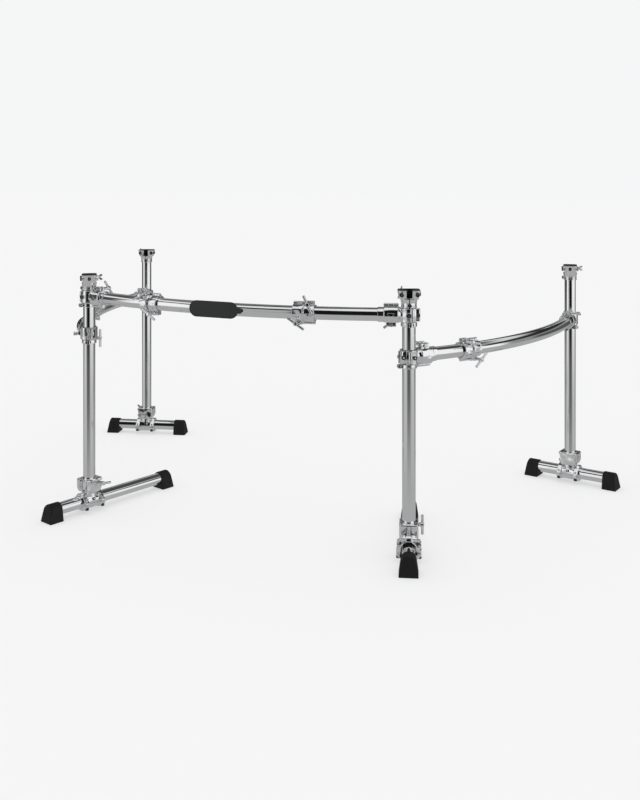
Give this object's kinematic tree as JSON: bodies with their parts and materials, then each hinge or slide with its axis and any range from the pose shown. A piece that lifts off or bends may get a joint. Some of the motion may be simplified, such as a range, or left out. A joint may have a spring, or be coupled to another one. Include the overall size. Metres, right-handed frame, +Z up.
{
  "type": "drum rack frame",
  "caption": "Curved drum rack of chromed round tube: a front bar and two side bars clamped to four posts with T-shaped legs, rubber boots, top chucks and accessory clamps.",
  "frame": {"origin": "on the floor, under the middle of the rack's bounding box", "axes": "+Z up, -Y towards the audience, +X to the player's left as seen from the front: the front bar runs along X"},
  "size_m": [2.0582, 1.1086, 0.7651],
  "materials": {
    "tube_chrome": "bright chrome plate on round steel tube",
    "cast_chrome": "chrome plate on polished castings",
    "screw_chrome": "chrome plate on turned steel",
    "boot_rubber": "matt moulded black rubber",
    "badge_plastic": "black plate with a faint sheen"
  },
  "bodies": {
    "front_bar": {"front_bar": "tube_chrome", "front_badge": "badge_plastic", "front_bar_left_clamp": "cast_chrome", "front_bar_right_clamp": "cast_chrome"},
    "front_left_post": {"front_left_post": "tube_chrome"},
    "front_bar_left_clamp_screw": {"front_bar_left_clamp_screw": "screw_chrome"},
    "front_right_post": {"front_right_post": "tube_chrome"},
    "front_bar_right_clamp_screw": {"front_bar_right_clamp_screw": "screw_chrome"},
    "left_side_bar": {"left_side_bar": "tube_chrome", "left_side_bar_front_clamp": "cast_chrome", "left_side_bar_rear_clamp": "cast_chrome"},
    "left_side_bar_front_clamp_screw": {"left_side_bar_front_clamp_screw": "screw_chrome"},
    "left_side_bar_rear_clamp_screw": {"left_side_bar_rear_clamp_screw": "screw_chrome"},
    "rear_left_post": {"rear_left_post": "tube_chrome"},
    "right_side_bar": {"right_side_bar": "tube_chrome", "right_side_bar_front_clamp": "cast_chrome", "right_side_bar_rear_clamp": "cast_chrome"},
    "right_side_bar_front_clamp_screw": {"right_side_bar_front_clamp_screw": "screw_chrome"},
    "right_side_bar_rear_clamp_screw": {"right_side_bar_rear_clamp_screw": "screw_chrome"},
    "rear_right_post": {"rear_right_post": "tube_chrome"},
    "front_left_chuck": {"front_left_chuck": "cast_chrome"},
    "front_left_chuck_wing_screw": {"front_left_chuck_wing_screw": "screw_chrome"},
    "front_left_leg_clamp": {"front_left_leg_clamp": "cast_chrome"},
    "front_left_leg_screw": {"front_left_leg_screw": "screw_chrome"},
    "front_left_foot": {"front_left_foot_tube": "tube_chrome", "front_left_foot_boot_ahead": "boot_rubber", "front_left_foot_boot_behind": "boot_rubber"},
    "front_right_chuck": {"front_right_chuck": "cast_chrome"},
    "front_right_chuck_wing_screw": {"front_right_chuck_wing_screw": "screw_chrome"},
    "front_right_leg_clamp": {"front_right_leg_clamp": "cast_chrome"},
    "front_right_leg_screw": {"front_right_leg_screw": "screw_chrome"},
    "front_right_foot": {"front_right_foot_tube": "tube_chrome", "front_right_foot_boot_ahead": "boot_rubber", "front_right_foot_boot_behind": "boot_rubber"},
    "rear_left_chuck": {"rear_left_chuck": "cast_chrome"},
    "rear_left_chuck_wing_screw": {"rear_left_chuck_wing_screw": "screw_chrome"},
    "rear_left_leg_clamp": {"rear_left_leg_clamp": "cast_chrome"},
    "rear_left_leg_screw": {"rear_left_leg_screw": "screw_chrome"},
    "rear_left_foot": {"rear_left_foot_tube": "tube_chrome", "rear_left_foot_boot_ahead": "boot_rubber", "rear_left_foot_boot_behind": "boot_rubber"},
    "rear_right_chuck": {"rear_right_chuck": "cast_chrome"},
    "rear_right_chuck_wing_screw": {"rear_right_chuck_wing_screw": "screw_chrome"},
    "rear_right_leg_clamp": {"rear_right_leg_clamp": "cast_chrome"},
    "rear_right_leg_screw": {"rear_right_leg_screw": "screw_chrome"},
    "rear_right_foot": {"rear_right_foot_tube": "tube_chrome", "rear_right_foot_boot_ahead": "boot_rubber", "rear_right_foot_boot_behind": "boot_rubber"},
    "left_accessory_clamp": {"left_accessory_clamp_disc_ring": "cast_chrome"},
    "left_accessory_clamp_swivel": {"left_accessory_clamp_swivel_ring": "cast_chrome"},
    "left_accessory_clamp_screw": {"left_accessory_clamp_screw": "screw_chrome"},
    "middle_accessory_clamp": {"middle_accessory_clamp_disc_ring": "cast_chrome"},
    "middle_accessory_clamp_swivel": {"middle_accessory_clamp_swivel_ring": "cast_chrome"},
    "middle_accessory_clamp_screw": {"middle_accessory_clamp_screw": "screw_chrome"},
    "outer_left_accessory_clamp": {"outer_left_accessory_clamp_disc_ring": "cast_chrome"},
    "outer_left_accessory_clamp_swivel": {"outer_left_accessory_clamp_swivel_ring": "cast_chrome"},
    "outer_left_accessory_clamp_screw": {"outer_left_accessory_clamp_screw": "screw_chrome"},
    "outer_right_accessory_clamp": {"outer_right_accessory_clamp_disc_ring": "cast_chrome"},
    "outer_right_accessory_clamp_swivel": {"outer_right_accessory_clamp_swivel_ring": "cast_chrome"},
    "outer_right_accessory_clamp_screw": {"outer_right_accessory_clamp_screw": "screw_chrome"}
  },
  "joints": [
    {"name": "front_left_post_height", "type": "slide", "parent": "front_bar", "child": "front_left_post", "axis": [0, 0, 1], "range_m": [0, 0.064]},
    {"name": "front_bar_left_clamp_screw_turn", "type": "hinge", "parent": "front_bar", "child": "front_bar_left_clamp_screw", "pos_m": [-0.49152, -0.40449, 0.7145], "axis": [0.2796, 0.9601, 0], "continuous": true},
    {"name": "front_right_post_height", "type": "slide", "parent": "front_bar", "child": "front_right_post", "axis": [0, 0, 1], "range_m": [0, 0.064]},
    {"name": "front_bar_right_clamp_screw_turn", "type": "hinge", "parent": "front_bar", "child": "front_bar_right_clamp_screw", "pos_m": [0.48247, -0.40449, 0.6605], "axis": [-0.2796, 0.9601, 0], "continuous": true},
    {"name": "left_wing_swing", "type": "hinge", "parent": "front_left_post", "child": "left_side_bar", "pos_m": [-0.53953, -0.39051, 0], "axis": [0, 0, 1], "range_deg": [-40, 60]},
    {"name": "left_side_bar_front_clamp_screw_turn", "type": "hinge", "parent": "left_side_bar", "child": "left_side_bar_front_clamp_screw", "pos_m": [-0.57068, -0.35141, 0.543], "axis": [0.7821, 0.6232, 0], "continuous": true},
    {"name": "left_side_bar_rear_clamp_screw_turn", "type": "hinge", "parent": "left_side_bar", "child": "left_side_bar_rear_clamp_screw", "pos_m": [-0.86348, 0.43589, 0.597], "axis": [0.9992, 0.0393, 0], "continuous": true},
    {"name": "rear_left_post_height", "type": "slide", "parent": "left_side_bar", "child": "rear_left_post", "axis": [0, 0, 1], "range_m": [-0.112, 0.415]},
    {"name": "right_wing_swing", "type": "hinge", "parent": "front_right_post", "child": "right_side_bar", "pos_m": [0.53047, -0.39051, 0], "axis": [0, 0, 1], "range_deg": [-60, 40]},
    {"name": "right_side_bar_front_clamp_screw_turn", "type": "hinge", "parent": "right_side_bar", "child": "right_side_bar_front_clamp_screw", "pos_m": [0.56163, -0.35141, 0.597], "axis": [-0.7821, 0.6232, 0], "continuous": true},
    {"name": "right_side_bar_rear_clamp_screw_turn", "type": "hinge", "parent": "right_side_bar", "child": "right_side_bar_rear_clamp_screw", "pos_m": [0.85442, 0.43589, 0.597], "axis": [0.9992, -0.0393, 0], "continuous": true},
    {"name": "rear_right_post_height", "type": "slide", "parent": "right_side_bar", "child": "rear_right_post", "axis": [0, 0, 1], "range_m": [-0.112, 0.415]},
    {"name": "front_left_chuck_turn", "type": "hinge", "parent": "front_left_post", "child": "front_left_chuck", "pos_m": [-0.53953, -0.39051, 0.708], "axis": [0, 0, 1], "continuous": true},
    {"name": "front_left_chuck_wing_screw_turn", "type": "hinge", "parent": "front_left_chuck", "child": "front_left_chuck_wing_screw", "pos_m": [-0.55214, -0.37249, 0.746], "axis": [0.8192, 0.5736, 0], "continuous": true},
    {"name": "front_left_leg_turn", "type": "hinge", "parent": "front_left_post", "child": "front_left_leg_clamp", "pos_m": [-0.53953, -0.39051, 0], "axis": [0, 0, 1], "continuous": true},
    {"name": "front_left_leg_screw_turn", "type": "hinge", "parent": "front_left_leg_clamp", "child": "front_left_leg_screw", "pos_m": [-0.53065, -0.36501, 0.087], "axis": [0.9444, -0.3289, 0], "continuous": true},
    {"name": "front_left_foot_reach", "type": "slide", "parent": "front_left_leg_clamp", "child": "front_left_foot", "axis": [0.3289, 0.9444, 0], "range_m": [-0.245, 0.076]},
    {"name": "front_right_chuck_turn", "type": "hinge", "parent": "front_right_post", "child": "front_right_chuck", "pos_m": [0.53047, -0.39051, 0.708], "axis": [0, 0, 1], "continuous": true},
    {"name": "front_right_chuck_wing_screw_turn", "type": "hinge", "parent": "front_right_chuck", "child": "front_right_chuck_wing_screw", "pos_m": [0.51008, -0.39875, 0.746], "axis": [-0.3746, 0.9272, 0], "continuous": true},
    {"name": "front_right_leg_turn", "type": "hinge", "parent": "front_right_post", "child": "front_right_leg_clamp", "pos_m": [0.53047, -0.39051, 0], "axis": [0, 0, 1], "continuous": true},
    {"name": "front_right_leg_screw_turn", "type": "hinge", "parent": "front_right_leg_clamp", "child": "front_right_leg_screw", "pos_m": [0.5229, -0.36459, 0.087], "axis": [0.9598, 0.2807, 0], "continuous": true},
    {"name": "front_right_foot_reach", "type": "slide", "parent": "front_right_leg_clamp", "child": "front_right_foot", "axis": [-0.2807, 0.9598, 0], "range_m": [-0.2698, 0.0512]},
    {"name": "rear_left_chuck_turn", "type": "hinge", "parent": "rear_left_post", "child": "rear_left_chuck", "pos_m": [-0.86544, 0.48585, 0.708], "axis": [0, 0, 1], "continuous": true},
    {"name": "rear_left_chuck_wing_screw_turn", "type": "hinge", "parent": "rear_left_chuck", "child": "rear_left_chuck_wing_screw", "pos_m": [-0.88584, 0.47761, 0.746], "axis": [-0.3746, 0.9272, 0], "continuous": true},
    {"name": "rear_left_leg_turn", "type": "hinge", "parent": "rear_left_post", "child": "rear_left_leg_clamp", "pos_m": [-0.86544, 0.48585, 0], "axis": [0, 0, 1], "continuous": true},
    {"name": "rear_left_leg_screw_turn", "type": "hinge", "parent": "rear_left_leg_clamp", "child": "rear_left_leg_screw", "pos_m": [-0.89159, 0.47913, 0.087], "axis": [-0.2487, 0.9686, 0], "continuous": true},
    {"name": "rear_left_foot_reach", "type": "slide", "parent": "rear_left_leg_clamp", "child": "rear_left_foot", "axis": [-0.9686, -0.2487, 0], "range_m": [-0.074, 0.082]},
    {"name": "rear_right_chuck_turn", "type": "hinge", "parent": "rear_right_post", "child": "rear_right_chuck", "pos_m": [0.85639, 0.48585, 0.708], "axis": [0, 0, 1], "continuous": true},
    {"name": "rear_right_chuck_wing_screw_turn", "type": "hinge", "parent": "rear_right_chuck", "child": "rear_right_chuck_wing_screw", "pos_m": [0.85333, 0.50764, 0.746], "axis": [0.9903, 0.1392, 0], "continuous": true},
    {"name": "rear_right_leg_turn", "type": "hinge", "parent": "rear_right_post", "child": "rear_right_leg_clamp", "pos_m": [0.85639, 0.48585, 0], "axis": [0, 0, 1], "continuous": true},
    {"name": "rear_right_leg_screw_turn", "type": "hinge", "parent": "rear_right_leg_clamp", "child": "rear_right_leg_screw", "pos_m": [0.83007, 0.49188, 0.087], "axis": [0.2233, 0.9748, 0], "continuous": true},
    {"name": "rear_right_foot_reach", "type": "slide", "parent": "rear_right_leg_clamp", "child": "rear_right_foot", "axis": [-0.9748, 0.2233, 0], "range_m": [-0.073, 0.083]},
    {"name": "left_accessory_clamp_slide", "type": "hinge", "parent": "front_bar", "child": "left_accessory_clamp", "pos_m": [-0.00453, 1.10343, 0.6875], "axis": [0, 0, 1], "range_deg": [-5.58, 4.18]},
    {"name": "left_accessory_clamp_swivel_turn", "type": "hinge", "parent": "left_accessory_clamp", "child": "left_accessory_clamp_swivel", "pos_m": [-0.24722, -0.46181, 0.6875], "axis": [0.9882, -0.1532, 0], "continuous": true},
    {"name": "left_accessory_clamp_screw_turn", "type": "hinge", "parent": "left_accessory_clamp_swivel", "child": "left_accessory_clamp_screw", "pos_m": [-0.24722, -0.46181, 0.6605], "axis": [-0.1532, -0.9882, 0], "continuous": true},
    {"name": "middle_accessory_clamp_slide", "type": "hinge", "parent": "front_bar", "child": "middle_accessory_clamp", "pos_m": [-0.00453, 1.10343, 0.6875], "axis": [0, 0, 1], "range_deg": [-5.13, 6.08]},
    {"name": "middle_accessory_clamp_swivel_turn", "type": "hinge", "parent": "middle_accessory_clamp", "child": "middle_accessory_clamp_swivel", "pos_m": [0.22442, -0.46388, 0.6875], "axis": [0.9895, 0.1445, 0], "continuous": true},
    {"name": "middle_accessory_clamp_screw_turn", "type": "hinge", "parent": "middle_accessory_clamp_swivel", "child": "middle_accessory_clamp_screw", "pos_m": [0.22442, -0.46388, 0.6605], "axis": [0.1445, -0.9895, 0], "continuous": true},
    {"name": "outer_left_accessory_clamp_slide", "type": "hinge", "parent": "left_side_bar", "child": "outer_left_accessory_clamp", "pos_m": [0.3454, 0.43738, 0.57], "axis": [0, 0, 1], "range_deg": [-32.57, 0.64]},
    {"name": "outer_left_accessory_clamp_swivel_turn", "type": "hinge", "parent": "outer_left_accessory_clamp", "child": "outer_left_accessory_clamp_swivel", "pos_m": [-0.63826, -0.26382, 0.57], "axis": [0.5805, -0.8143, 0], "continuous": true},
    {"name": "outer_left_accessory_clamp_screw_turn", "type": "hinge", "parent": "outer_left_accessory_clamp_swivel", "child": "outer_left_accessory_clamp_screw", "pos_m": [-0.63826, -0.26382, 0.543], "axis": [-0.8143, -0.5805, 0], "continuous": true},
    {"name": "outer_right_accessory_clamp_slide", "type": "hinge", "parent": "right_side_bar", "child": "outer_right_accessory_clamp", "pos_m": [-0.35445, 0.43738, 0.57], "axis": [0, 0, 1], "range_deg": [-4.01, 29.2]},
    {"name": "outer_right_accessory_clamp_swivel_turn", "type": "hinge", "parent": "outer_right_accessory_clamp", "child": "outer_right_accessory_clamp_swivel", "pos_m": [0.66873, -0.20478, 0.57], "axis": [0.5316, 0.847, 0], "continuous": true},
    {"name": "outer_right_accessory_clamp_screw_turn", "type": "hinge", "parent": "outer_right_accessory_clamp_swivel", "child": "outer_right_accessory_clamp_screw", "pos_m": [0.66873, -0.20478, 0.543], "axis": [0.847, -0.5316, 0], "continuous": true}
  ],
  "couplings": [
    {"joint": "front_right_post_height", "follows": "front_left_post_height", "ratio": 1}
  ]
}
